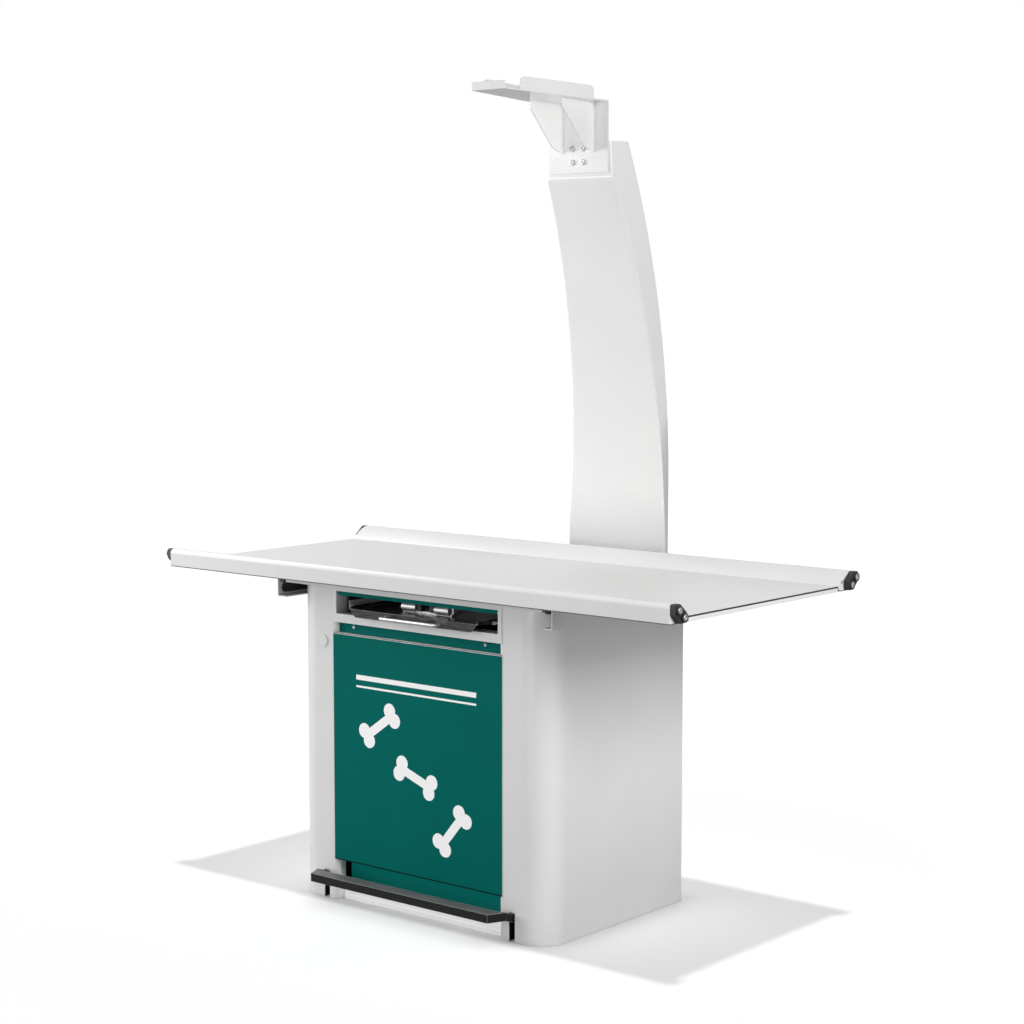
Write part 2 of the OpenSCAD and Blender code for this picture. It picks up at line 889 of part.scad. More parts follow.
module brake_rod(s) {
    pad = brake_plate_bottom - 0.3 - pad_height;
    color("silver") from_front() side(s) {
        translate([rod_x, rod_y, 14]) cylinder(r = rod_radius, h = pad - 14);
        translate([rod_x, rod_y, spring_top]) cylinder(r = 11, h = 5);
        bar_x(arm_outer - arm_thickness, rod_x, rod_y, 22, 4);
        translate([rod_x, rod_y, pad]) cylinder(r = 20, h = pad_height);
    }
}

// a round-wire compression spring between the lower guide and the rod's collar
module brake_spring(s) {
    wire = 1.2;
    radius = 8;
    low = guide_low + 6;
    height = spring_top - low;
    turns = 6;
    pitch = height / turns;
    color("silver") from_front() side(s) translate([rod_x, rod_y, low])
        linear_extrude(height, twist = 360 * turns, slices = 18 * turns, $fn = 10)
            polygon([for (t = [0:36:359]) let (r = radius + wire * cos(t),
                a = 360 * wire * sin(t) / pitch) [r * cos(a), r * sin(a)]]);
}

// cassette tray

module cassette_tray() {
    z = tray_z;
    top = z + 1.5;
    handle_x = handle_width / 2 - handle_radius;
    color("silver") from_front() {
        wide(tray_half, tray_front, tray_back, z, top);
        wide(runner_half, 14, tray_back, z, top);
        both_sides() block([tray_half - 1.5, tray_front, top], [tray_half, tray_back, z + 8]);
        wide(tray_half - 1.5, tray_back - 1.5, tray_back, top, z + 8);
        difference() {
            along_depth(tray_front - 1.5, tray_front) polygon([[-tray_half, top], [tray_half, top],
                [tray_half - 19, z - 18], [19 - tray_half, z - 18]]);
            both_sides() bar_y(handle_x, tray_front - 4, tray_front + 2, z - 9, handle_radius + in_fit);
        }
    }
}

// a bent round bar whose ends pass through the tray's front flange
module tray_handle() {
    x = handle_width / 2 - handle_radius;
    z = tray_z - 9;
    bend = 8;
    reach = tray_front - 14;
    color("silver") from_front() {
        both_sides() {
            bar_y(x, reach, tray_front + 2, z, handle_radius);
            bar_y(x, tray_front, tray_front + 3, z, handle_radius + 1.5);
            translate([x - bend, reach, z]) rotate([0, 0, -90]) rotate_extrude(angle = 90)
                translate([bend, 0]) circle(handle_radius);
        }
        bar_x(bend - x, x - bend, reach - bend, z, handle_radius);
    }
}

// clamp bar with two round pads in front of its upright plates
module front_jaw() {
    z = tray_z + 1.5;
    back = jaw_front + 20;
    color("silver") from_front() {
        wide(jaw_half, jaw_front + 8, back, z, z + 5);
        for (x = [-jaw_half, 18]) block([x, back - 6, z + 5], [x + 58, back, z + jaw_height]);
        for (x = [-74, 30]) bar_x(x, x + 44, jaw_front + 8, z + 13, 11.5);
    }
}

module front_jaw_grips() {
    z = tray_z + 1.5;
    color("black") from_front() for (x = [-26, 13])
        block([x, jaw_front, z + 5], [x + 13, jaw_front + 14, z + jaw_height]);
}

module rear_jaw() {
    z = tray_z + 1.5;
    color("silver") from_front() {
        wide(jaw_half, rear_jaw_front, rear_jaw_front + 12, z, z + 5);
        wide(jaw_half, rear_jaw_front, rear_jaw_front + 4, z + 5, z + jaw_height);
    }
}
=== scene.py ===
import json
import math
import bmesh
import bpy
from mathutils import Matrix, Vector

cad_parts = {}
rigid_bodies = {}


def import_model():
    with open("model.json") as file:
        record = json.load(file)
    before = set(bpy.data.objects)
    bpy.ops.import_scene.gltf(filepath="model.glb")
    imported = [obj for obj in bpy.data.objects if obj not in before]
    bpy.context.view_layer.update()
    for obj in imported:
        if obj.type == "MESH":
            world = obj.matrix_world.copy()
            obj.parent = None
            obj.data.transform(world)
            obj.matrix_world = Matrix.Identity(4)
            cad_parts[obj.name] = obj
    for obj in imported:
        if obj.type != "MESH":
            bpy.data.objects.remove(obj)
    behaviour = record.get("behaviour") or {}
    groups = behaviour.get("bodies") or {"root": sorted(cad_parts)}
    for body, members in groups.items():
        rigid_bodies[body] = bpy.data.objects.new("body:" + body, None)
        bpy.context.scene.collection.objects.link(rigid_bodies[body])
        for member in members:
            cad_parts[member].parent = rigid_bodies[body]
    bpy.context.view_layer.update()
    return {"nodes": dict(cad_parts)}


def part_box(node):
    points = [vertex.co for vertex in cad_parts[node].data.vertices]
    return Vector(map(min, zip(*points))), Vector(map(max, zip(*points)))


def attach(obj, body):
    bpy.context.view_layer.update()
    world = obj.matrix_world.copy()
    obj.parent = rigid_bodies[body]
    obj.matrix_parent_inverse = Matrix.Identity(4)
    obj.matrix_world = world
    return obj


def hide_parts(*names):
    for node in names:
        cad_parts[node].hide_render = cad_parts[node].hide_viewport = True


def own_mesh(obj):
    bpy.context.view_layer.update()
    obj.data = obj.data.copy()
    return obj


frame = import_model()
nodes = frame["nodes"]
print("frame loaded:", len(nodes), "nodes")


def screenColor(r, g, b):  # a colour as it looks on screen, 0 to 255, made linear
    linear = [(c / 255 / 12.92) if c < 11 else ((c / 255 + 0.055) / 1.055) ** 2.4 for c in (r, g, b)]
    return tuple(linear) + (1,)


pureWhite = (1, 1, 1, 1)


def placeItem(name, data):
    item = bpy.data.objects.new(name, data)
    bpy.context.scene.collection.objects.link(item)
    return item


def faceAlong(item, direction):  # turns a camera or a lamp to look along a direction
    item.rotation_mode = "QUATERNION"
    item.rotation_quaternion = direction.to_track_quat("-Z", "Y")


def meshItem(name, bm, *materials):
    mesh = bpy.data.meshes.new(name)
    bm.to_mesh(mesh)
    bm.free()
    for mat in materials:
        mesh.materials.append(mat)
    return placeItem(name, mesh)


def skinRings(bm, rings, smooth):  # a closed skin from ring to ring, with a cap at both ends
    for near, far in zip(rings, rings[1:]):
        for i in range(len(near)):
            k = (i + 1) % len(near)
            bm.faces.new((near[i], near[k], far[k], far[i])).smooth = smooth
    bm.faces.new(list(reversed(rings[0])))
    bm.faces.new(rings[-1])
    bmesh.ops.recalc_face_normals(bm, faces=bm.faces)


# camera: stands where the photograph was taken from

camera = {
    "place": (3.42378, -4.01352, 1.4788),
    "azimuth": 39.825,
    "elevation": 5.727,
    "lens": 77.017,
    "sensor": 36,
    "reach": 100,
}


def addCamera(values):
    data = bpy.data.cameras.new("photoCamera")
    data.lens = values["lens"]
    data.sensor_width = values["sensor"]
    data.clip_end = values["reach"]
    item = placeItem("photoCamera", data)
    a, e = math.radians(values["azimuth"]), math.radians(values["elevation"])
    back = Vector((math.sin(a) * math.cos(e), -math.cos(a) * math.cos(e), math.sin(e)))
    item.location = values["place"]
    faceAlong(item, -back)
    bpy.context.scene.camera = item


addCamera(camera)
bpy.context.scene.view_settings.view_transform = "Standard"
print("camera placed")


# shared shader groups: each puts out masks, heights or normals

shadeSamples = 6


def newGroup(name, inputs, outputs):
    tree = bpy.data.node_groups.new(name, "ShaderNodeTree")
    for label, kind, value in inputs:
        socket = tree.interface.new_socket(name=label, in_out="INPUT", socket_type=kind)
        if value is not None:
            socket.default_value = value
    for label, kind in outputs:
        tree.interface.new_socket(name=label, in_out="OUTPUT", socket_type=kind)
    return tree, tree.nodes.new("NodeGroupInput"), tree.nodes.new("NodeGroupOutput")


def mathNode(tree, operation, a, b=None, clamp=False):
    item = tree.nodes.new("ShaderNodeMath")
    item.operation = operation
    item.use_clamp = clamp
    for i, v in enumerate((a, b)):
        if v is None:
            continue
        if isinstance(v, (int, float)):
            item.inputs[i].default_value = v
        else:
            tree.links.new(v, item.inputs[i])
    return item.outputs[0]


def noiseNode(tree, vector, scale, detail=2.0, roughness=0.5):
    item = tree.nodes.new("ShaderNodeTexNoise")
    tree.links.new(vector, item.inputs["Vector"])
    if isinstance(scale, (int, float)):
        item.inputs["Scale"].default_value = scale
    else:
        tree.links.new(scale, item.inputs["Scale"])
    item.inputs["Detail"].default_value = detail
    item.inputs["Roughness"].default_value = roughness
    return item.outputs["Fac"]


def rangeNode(tree, value, low, high, toLow=0.0, toHigh=1.0, smooth=True):
    item = tree.nodes.new("ShaderNodeMapRange")
    item.interpolation_type = "SMOOTHSTEP" if smooth else "LINEAR"
    tree.links.new(value, item.inputs["Value"])
    for label, v in (("From Min", low), ("From Max", high), ("To Min", toLow), ("To Max", toHigh)):
        if isinstance(v, (int, float)):
            item.inputs[label].default_value = v
        else:
            tree.links.new(v, item.inputs[label])
    return item.outputs["Result"]


def stretchNode(tree, vector, stretch):  # lets a grain change faster along some axes than along others
    item = tree.nodes.new("ShaderNodeVectorMath")
    item.operation = "MULTIPLY"
    tree.links.new(vector, item.inputs[0])
    if isinstance(stretch, tuple):
        item.inputs[1].default_value = stretch
    else:
        tree.links.new(stretch, item.inputs[1])
    return item.outputs[0]


def splitNode(tree, vector):
    item = tree.nodes.new("ShaderNodeSeparateXYZ")
    tree.links.new(vector, item.inputs[0])
    return item.outputs


def makePowderGrain():  # orange peel of a coat or a moulded skin, with specks and a slow change of tone
    tree, gin, gout = newGroup("powderGrain", [
        ("Vector", "NodeSocketVector", None), ("Peel Scale", "NodeSocketFloat", 700.0),
        ("Cloud Scale", "NodeSocketFloat", 3.0)],
        [("Height", "NodeSocketFloat"), ("Cloud", "NodeSocketFloat"), ("Speck", "NodeSocketFloat")])
    fineScale, fineShare = 3.1, 0.25
    vector, scale = gin.outputs["Vector"], gin.outputs["Peel Scale"]
    peel = noiseNode(tree, vector, scale, detail=2.0, roughness=0.45)
    fine = noiseNode(tree, vector, mathNode(tree, "MULTIPLY", scale, fineScale), detail=1.0, roughness=0.5)
    height = mathNode(tree, "ADD", peel, mathNode(tree, "MULTIPLY", fine, fineShare))
    cloud = noiseNode(tree, vector, gin.outputs["Cloud Scale"], detail=3.0, roughness=0.55)
    tree.links.new(height, gout.inputs["Height"])
    tree.links.new(rangeNode(tree, cloud, low=0.3, high=0.7), gout.inputs["Cloud"])
    tree.links.new(rangeNode(tree, fine, low=0.62, high=0.72), gout.inputs["Speck"])
    return tree


def makeSoftEdge():  # rounds the shading of sharp edges and says where they are
    tree, gin, gout = newGroup("softEdge", [("Radius", "NodeSocketFloat", 0.001)],
        [("Normal", "NodeSocketVector"), ("Edge", "NodeSocketFloat")])
    bevel = tree.nodes.new("ShaderNodeBevel")
    bevel.samples = shadeSamples
    tree.links.new(gin.outputs["Radius"], bevel.inputs["Radius"])
    geometry = tree.nodes.new("ShaderNodeNewGeometry")
    dot = tree.nodes.new("ShaderNodeVectorMath")
    dot.operation = "DOT_PRODUCT"
    tree.links.new(bevel.outputs["Normal"], dot.inputs[0])
    tree.links.new(geometry.outputs["Normal"], dot.inputs[1])
    tree.links.new(bevel.outputs["Normal"], gout.inputs["Normal"])
    tree.links.new(rangeNode(tree, dot.outputs["Value"], low=0.995, high=0.8), gout.inputs["Edge"])
    return tree


def makeBrushedGrain():  # fine parallel lines of brushed or drawn metal
    tree, gin, gout = newGroup("brushedGrain", [
        ("Vector", "NodeSocketVector", None), ("Stretch", "NodeSocketVector", (1.0, 60.0, 60.0)),
        ("Scale", "NodeSocketFloat", 30.0)],
        [("Height", "NodeSocketFloat"), ("Line", "NodeSocketFloat"), ("Stain", "NodeSocketFloat")])
    drawn = stretchNode(tree, gin.outputs["Vector"], gin.outputs["Stretch"])
    lines = noiseNode(tree, drawn, gin.outputs["Scale"], detail=4.0, roughness=0.65)
    stain = noiseNode(tree, gin.outputs["Vector"], scale=14.0, detail=3.0, roughness=0.6)
    tree.links.new(lines, gout.inputs["Height"])
    tree.links.new(rangeNode(tree, lines, low=0.35, high=0.65), gout.inputs["Line"])
    tree.links.new(rangeNode(tree, stain, low=0.35, high=0.75), gout.inputs["Stain"])
    return tree


def makeFloorGrime():  # scuffs and dust that gather near the floor
    tree, gin, gout = newGroup("floorGrime", [
        ("Vector", "NodeSocketVector", None), ("Reach", "NodeSocketFloat", 0.12)],
        [("Dust", "NodeSocketFloat"), ("Scuff", "NodeSocketFloat")])
    near = rangeNode(tree, splitNode(tree, gin.outputs["Vector"])["Z"], low=gin.outputs["Reach"], high=0.0)
    cloud = noiseNode(tree, gin.outputs["Vector"], scale=22.0, detail=4.0, roughness=0.65)
    dust = mathNode(tree, "MULTIPLY", near, rangeNode(tree, cloud, low=0.3, high=0.8))
    level = stretchNode(tree, gin.outputs["Vector"], stretch=(18, 18, 160))
    streak = noiseNode(tree, level, scale=1.0, detail=2.0, roughness=0.6)
    scuff = mathNode(tree, "MULTIPLY", near, rangeNode(tree, streak, low=0.66, high=0.74))
    tree.links.new(dust, gout.inputs["Dust"])
    tree.links.new(scuff, gout.inputs["Scuff"])
    return tree


def makeSeamShade():  # painted shade in narrow gaps and corners, and a painted shadow where the table meets the floor
    tree, gin, gout = newGroup("seamShade", [
        ("Reach", "NodeSocketFloat", 0.02), ("Open", "NodeSocketFloat", 0.6)],
        [("Seam", "NodeSocketFloat")])
    close = tree.nodes.new("ShaderNodeAmbientOcclusion")
    close.samples = shadeSamples
    tree.links.new(gin.outputs["Reach"], close.inputs["Distance"])
    gapShadeMask = rangeNode(tree, close.outputs["AO"], low=gin.outputs["Open"], high=0.1)
    tree.links.new(gapShadeMask, gout.inputs["Seam"])
    return tree


def makeTreadSheenAndWear():  # painted sheen, streaked where shoes rub, on the faces that look up
    tree, gin, gout = newGroup("treadSheenAndWear", [
        ("Vector", "NodeSocketVector", None)],
        [("Sheen And Wear", "NodeSocketFloat")])
    geometry = tree.nodes.new("ShaderNodeNewGeometry")
    along = stretchNode(tree, gin.outputs["Vector"], stretch=(9, 260, 9))
    streak = noiseNode(tree, along, scale=1.0, detail=3.0, roughness=0.6)
    up = rangeNode(tree, splitNode(tree, geometry.outputs["Normal"])["Z"], low=0.6, high=0.95)
    streakShare = rangeNode(tree, streak, low=0.3, high=0.7, toLow=0.45, toHigh=1.0)
    sheenAndWear = mathNode(tree, "MULTIPLY", up, streakShare)
    tree.links.new(sheenAndWear, gout.inputs["Sheen And Wear"])
    return tree


def makeHeightBand():  # a level band round a piece, between two heights
    tree, gin, gout = newGroup("heightBand", [
        ("Vector", "NodeSocketVector", None), ("Low", "NodeSocketFloat", 0.0),
        ("High", "NodeSocketFloat", 0.001)],
        [("Band", "NodeSocketFloat")])
    z = splitNode(tree, gin.outputs["Vector"])["Z"]
    above = mathNode(tree, "GREATER_THAN", z, gin.outputs["Low"])
    below = mathNode(tree, "LESS_THAN", z, gin.outputs["High"])
    tree.links.new(mathNode(tree, "MULTIPLY", above, below), gout.inputs["Band"])
    return tree


printPlan = {
    "bones": ((-0.115, 0.45, 35), (0.0, 0.34, -20), (0.115, 0.23, 50)),  # place across, height, turn
    "stripes": ((0.0, 0.006), (0.022, 0.0025)),  # drop, half thickness
    "knobRadius": 1.65, "knobOffset": 1.25,  # times the bone's half width
}


def makePanelPrint(v):  # two plain stripes over three bones on a slope
    tree, gin, gout = newGroup("panelPrint", [
        ("Vector", "NodeSocketVector", None), ("Bone Reach", "NodeSocketFloat", 0.05),
        ("Bone Width", "NodeSocketFloat", 0.011), ("Stripe Half", "NodeSocketFloat", 0.19),
        ("Stripe Level", "NodeSocketFloat", 0.56)],
        [("White", "NodeSocketFloat")])
    split = splitNode(tree, gin.outputs["Vector"])
    x, z = split["X"], split["Z"]
    knob = mathNode(tree, "MULTIPLY", gin.outputs["Bone Width"], v["knobRadius"])
    offset = mathNode(tree, "MULTIPLY", gin.outputs["Bone Width"], v["knobOffset"])
    mask = None
    for middleX, middleZ, turn in v["bones"]:
        dx, dz = mathNode(tree, "SUBTRACT", x, middleX), mathNode(tree, "SUBTRACT", z, middleZ)
        c, s = math.cos(math.radians(turn)), math.sin(math.radians(turn))
        along = mathNode(tree, "ADD", mathNode(tree, "MULTIPLY", dx, c),
            mathNode(tree, "MULTIPLY", dz, s))
        beside = mathNode(tree, "SUBTRACT", mathNode(tree, "MULTIPLY", dz, c),
            mathNode(tree, "MULTIPLY", dx, s))
        length, width = mathNode(tree, "ABSOLUTE", along), mathNode(tree, "ABSOLUTE", beside)
        shaft = mathNode(tree, "MULTIPLY", mathNode(tree, "LESS_THAN", length, gin.outputs["Bone Reach"]),
            mathNode(tree, "LESS_THAN", width, gin.outputs["Bone Width"]))
        kx = mathNode(tree, "SUBTRACT", length, gin.outputs["Bone Reach"])
        ky = mathNode(tree, "SUBTRACT", width, offset)
        square = mathNode(tree, "ADD", mathNode(tree, "MULTIPLY", kx, kx),
            mathNode(tree, "MULTIPLY", ky, ky))
        end = mathNode(tree, "LESS_THAN", mathNode(tree, "SQRT", square), knob)
        bone = mathNode(tree, "MAXIMUM", shaft, end)
        mask = bone if mask is None else mathNode(tree, "MAXIMUM", mask, bone)
    inside = mathNode(tree, "LESS_THAN", mathNode(tree, "ABSOLUTE", x), gin.outputs["Stripe Half"])
    for drop, thick in v["stripes"]:
        level = mathNode(tree, "ADD", mathNode(tree, "SUBTRACT", z, gin.outputs["Stripe Level"]), drop)
        stripe = mathNode(tree, "LESS_THAN", mathNode(tree, "ABSOLUTE", level), thick)
        mask = mathNode(tree, "MAXIMUM", mask, mathNode(tree, "MULTIPLY", stripe, inside))
    tree.links.new(mask, gout.inputs["White"])
    return tree


powderGrain = makePowderGrain()
softEdge = makeSoftEdge()
brushedGrain = makeBrushedGrain()
floorGrime = makeFloorGrime()
seamShade = makeSeamShade()
treadSheenAndWear = makeTreadSheenAndWear()
heightBand = makeHeightBand()
panelPrint = makePanelPrint(printPlan)
print("shader groups made")


# materials

def newMaterial(name):  # a Principled shader on its output, and Object coordinates
    mat = bpy.data.materials.new(name)
    mat.use_nodes = True
    tree = mat.node_tree
    tree.nodes.clear()
    out = tree.nodes.new("ShaderNodeOutputMaterial")
    shader = tree.nodes.new("ShaderNodeBsdfPrincipled")
    tree.links.new(shader.outputs["BSDF"], out.inputs["Surface"])
    place = tree.nodes.new("ShaderNodeTexCoord")
    return mat, tree, shader, place.outputs["Object"]


def placeGroup(tree, group, vector=None, values=None):
    item = tree.nodes.new("ShaderNodeGroup")
    item.node_tree = group
    if vector is not None:
        tree.links.new(vector, item.inputs["Vector"])
    for label, v in (values or {}).items():
        item.inputs[label].default_value = v
    return item.outputs


def placePowder(tree, place, values):
    sizes = {"Peel Scale": values["peel"], "Cloud Scale": values["cloud"]}
    return placeGroup(tree, powderGrain, place, sizes)


def blendColor(tree, factor, a, b):
    item = tree.nodes.new("ShaderNodeMix")
    item.data_type = "RGBA"
    tree.links.new(factor, item.inputs["Factor"])
    for label, v in (("A", a), ("B", b)):
        socket = [s for s in item.inputs if s.name == label and s.type == "RGBA"][0]
        if isinstance(v, tuple):
            socket.default_value = v
        else:
            tree.links.new(v, socket)
    return [s for s in item.outputs if s.type == "RGBA"][0]


def bumpNode(tree, shader, height, normal, strength, distance):
    item = tree.nodes.new("ShaderNodeBump")
    item.inputs["Strength"].default_value = strength
    item.inputs["Distance"].default_value = distance
    tree.links.new(height, item.inputs["Height"])
    if normal is not None:
        tree.links.new(normal, item.inputs["Normal"])
    tree.links.new(item.outputs["Normal"], shader.inputs["Normal"])


def tint(tree, tone, mask, share, color):  # a mask, held back to a share of itself, brings in a colour
    return blendColor(tree, mathNode(tree, "MULTIPLY", mask, share), tone, color)


def addBand(tree, place, tone, values):  # a painted line at a level: a painted shadow along the rails' lips, in the strip's groove and at the door's lower edge, and a painted highlight on the column's bend
    if "paintedLightBand" not in values:
        return tone
    low, high, color = values["paintedLightBand"]  # from this height to that one, in this colour
    paintedLightBand = placeGroup(tree, heightBand, place, {"Low": low, "High": high})["Band"]
    return blendColor(tree, paintedLightBand, tone, color)


def roughRange(tree, value, rough, span, swing):  # roughness that swings about its value with a grain
    return rangeNode(tree, value, span[0], span[1], rough - swing[0], rough + swing[1], smooth=False)


def paintMaterial(name, values):
    mat, tree, shader, place = newMaterial(name)
    grain = placePowder(tree, place, values)
    edge = placeGroup(tree, softEdge, values={"Radius": values["edge"]})
    grime = placeGroup(tree, floorGrime, place, {"Reach": values["grimeReach"]})
    tone = blendColor(tree, grain["Cloud"], values["color"], values["tone"])
    tone = tint(tree, tone, grain["Speck"], values["speckTone"], values["speck"])
    if "print" in values:
        mask = placeGroup(tree, panelPrint, place, values["print"])["White"]
        tone = blendColor(tree, mask, tone, values["printColor"])
    # painted sheen, streaked where shoes rub: faces that look up are lighter
    if "sheenAndWearColor" in values:
        tone = blendColor(tree, placeGroup(tree, treadSheenAndWear, place)["Sheen And Wear"], tone, values["sheenAndWearColor"])
    tone = addBand(tree, place, tone, values)
    # painted highlight: edges lighter, in the edge colour
    tone = tint(tree, tone, edge["Edge"], values["edgeHighlightShare"], values["edgeHighlightColor"])
    # painted shade: darker in narrow gaps and corners
    gapShade = placeGroup(tree, seamShade, values={"Reach": values["gapShadeReach"]})["Seam"]
    tone = tint(tree, tone, gapShade, values["gapShade"], values["gapShadeColor"])
    tone = tint(tree, tone, grime["Dust"], values["dust"], values["dustColor"])
    tone = tint(tree, tone, grime["Scuff"], values["scuff"], values["scuffColor"])
    tree.links.new(tone, shader.inputs["Base Color"])
    rough = roughRange(tree, grain["Height"], values["rough"], span=(0.4, 0.85), swing=(0.04, 0.04))
    dusty = mathNode(tree, "MULTIPLY", grime["Dust"], values["dustRough"])
    tree.links.new(mathNode(tree, "ADD", rough, dusty, clamp=True), shader.inputs["Roughness"])
    shader.inputs["Specular IOR Level"].default_value = values["specular"]
    shader.inputs["Coat Weight"].default_value = values["coat"]
    shader.inputs["Coat Roughness"].default_value = values["coatRough"]
    bumpNode(tree, shader, grain["Height"], edge["Normal"], values["bump"], values["depth"])
    return mat


def metalMaterial(name, values):
    mat, tree, shader, place = newMaterial(name)
    grain = placeGroup(tree, brushedGrain, place, {"Stretch": values["stretch"], "Scale": values["scale"]})
    edge = placeGroup(tree, softEdge, values={"Radius": values["edge"]})
    tone = blendColor(tree, grain["Line"], values["color"], values["tone"])
    tone = tint(tree, tone, grain["Stain"], values["stainTone"], values["stain"])
    tone = addBand(tree, place, tone, values)
    # painted highlight: edges lighter, in the edge colour
    tone = tint(tree, tone, edge["Edge"], values["edgeHighlightShare"], values["edgeHighlightColor"])
    tree.links.new(tone, shader.inputs["Base Color"])
    shader.inputs["Metallic"].default_value = 1.0
    rough = roughRange(tree, grain["Line"], values["rough"], span=(0.0, 1.0), swing=(0.05, 0.08))
    stained = mathNode(tree, "MULTIPLY", grain["Stain"], values["stainRough"])
    tree.links.new(mathNode(tree, "ADD", rough, stained, clamp=True), shader.inputs["Roughness"])
    bumpNode(tree, shader, grain["Height"], edge["Normal"], values["bump"], values["depth"])
    return mat


def softMaterial(name, values):  # moulded rubber and nylon
    mat, tree, shader, place = newMaterial(name)
    grain = placePowder(tree, place, values)
    edge = placeGroup(tree, softEdge, values={"Radius": values["edge"]})
    tone = blendColor(tree, grain["Cloud"], values["color"], values["tone"])
    # painted highlight: edges lighter, in the edge colour
    tone = tint(tree, tone, edge["Edge"], values["edgeHighlightShare"], values["edgeHighlightColor"])
    tree.links.new(tone, shader.inputs["Base Color"])
    rough = roughRange(tree, grain["Height"], values["rough"], span=(0.4, 0.85), swing=(0.06, 0.06))
    tree.links.new(rough, shader.inputs["Roughness"])
    bumpNode(tree, shader, grain["Height"], edge["Normal"], values["bump"], values["depth"])
    return mat


def sheetMaterial(name, values):  # pale laminate with a dark core at its edges
    mat, tree, shader, place = newMaterial(name)
    grain = placePowder(tree, place, values)
    geometry = tree.nodes.new("ShaderNodeNewGeometry")
    upright = mathNode(tree, "ABSOLUTE", splitNode(tree, geometry.outputs["Normal"])["Z"])
    side = rangeNode(tree, upright, low=0.6, high=0.4)
    tone = blendColor(tree, grain["Cloud"], values["color"], values["tone"])
    tone = tint(tree, tone, grain["Speck"], values["speckTone"], values["speck"])
    across = stretchNode(tree, place, values["wipeStretch"])
    wipe = noiseNode(tree, across, scale=1.0, detail=3.0, roughness=0.6)
    tone = tint(tree, tone, rangeNode(tree, wipe, low=0.55, high=0.8), values["wipeTone"], values["wipe"])
    tone = blendColor(tree, side, tone, values["core"])
    tree.links.new(tone, shader.inputs["Base Color"])
    rough = roughRange(tree, wipe, values["rough"], span=(0.3, 0.7), swing=(0.04, 0.06))
    tree.links.new(rough, shader.inputs["Roughness"])
    bumpNode(tree, shader, grain["Height"], None, values["bump"], values["depth"])
    return mat


# the edge colour paints a highlight along edges, and the shade colour paints shade into narrow gaps and
# corners
whiteValues = {
    "color": screenColor(226, 226, 225), "tone": screenColor(220, 220, 220),
    "speck": screenColor(206, 206, 207), "edgeHighlightColor": screenColor(238, 238, 238),
    "dustColor": screenColor(120, 116, 108), "scuffColor": screenColor(70, 70, 70),
    "gapShadeColor": screenColor(96, 97, 98), "speckTone": 0.1, "edgeHighlightShare": 0.3,
    "rough": 0.34, "dustRough": 0.25, "specular": 0.5, "coat": 0.25, "coatRough": 0.18,
    "peel": 420.0, "cloud": 2.5, "edge": 0.0012, "bump": 0.22, "depth": 0.0004,
    "grimeReach": 0.10, "dust": 0.07, "scuff": 0.1, "gapShadeReach": 0.02, "gapShade": 0.75,
}
columnValues = dict(whiteValues, color=screenColor(230, 230, 229), tone=screenColor(226, 226, 226),
    edgeHighlightColor=screenColor(250, 250, 250), edgeHighlightShare=0.05, rough=0.26, coat=0.45, coatRough=0.1,
    edge=0.001, bump=0.05)
# the column skin: a painted highlight, a white line along its bend below the head
skinValues = dict(columnValues, paintedLightBand=(1.7632, 1.7662, screenColor(255, 255, 255)))
# the rails: a painted shadow, a dark line along the lower lip
railValues = dict(whiteValues, color=screenColor(227, 227, 226), tone=screenColor(223, 223, 223), rough=0.3,
    coat=0.3, coatRough=0.12, edge=0.0006, bump=0.08, paintedLightBand=(0.7865, 0.7893, screenColor(92, 93, 95)))
# the base rail: a strong painted highlight along its edges, and less painted shade in narrow gaps
baseValues = dict(whiteValues, edge=0.002, edgeHighlightShare=0.9, edgeHighlightColor=screenColor(255, 255, 255),
    dust=0.03, gapShade=0.1)
greenValues = dict(whiteValues, color=screenColor(0, 101, 95), tone=screenColor(0, 97, 91),
    speck=screenColor(0, 84, 80), edgeHighlightColor=screenColor(60, 150, 142), edgeHighlightShare=0.35, rough=0.5,
    specular=0.03, coat=0.0, bump=0.12, dust=0.05, scuff=0.05, gapShadeColor=screenColor(0, 40, 38))
# the plinth: the same green with less painted shade in narrow gaps
plinthValues = dict(greenValues, gapShade=0.2)
# the door: a painted shadow, a near-black line along its lower edge
doorValues = dict(greenValues, paintedLightBand=(0.1015, 0.1049, screenColor(10, 16, 16)),
    printColor=screenColor(254, 254, 254),
    print={"Bone Reach": 0.05, "Bone Width": 0.011, "Stripe Half": 0.19, "Stripe Level": 0.56})
blackValues = dict(whiteValues, color=screenColor(30, 30, 32), tone=screenColor(25, 25, 27),
    speck=screenColor(42, 42, 44), edgeHighlightColor=screenColor(90, 90, 92), edgeHighlightShare=0.4, rough=0.42,
    coat=0.1, bump=0.3, dust=0.2, scuff=0.2, gapShadeColor=screenColor(10, 10, 10))
# the pedal: a painted sheen, streaked where shoes rub, on its top faces, and a strong painted highlight on
# its edges
pedalValues = dict(blackValues, color=screenColor(20, 20, 21), tone=screenColor(17, 17, 18),
    speck=screenColor(28, 28, 29), sheenAndWearColor=screenColor(104, 104, 105), edge=0.0016,
    edgeHighlightColor=screenColor(205, 205, 205), edgeHighlightShare=0.9, specular=0.25, coat=0.0, dust=0.0, scuff=0.1)
steelValues = {
    "color": screenColor(196, 197, 199), "tone": screenColor(214, 215, 216),
    "stain": screenColor(176, 178, 182), "edgeHighlightColor": screenColor(250, 250, 250),
    "stainTone": 0.35, "edgeHighlightShare": 0.4, "stretch": (1.0, 70.0, 70.0), "scale": 26.0,
    "rough": 0.27, "stainRough": 0.08, "edge": 0.0005, "bump": 0.25, "depth": 0.0003,
}
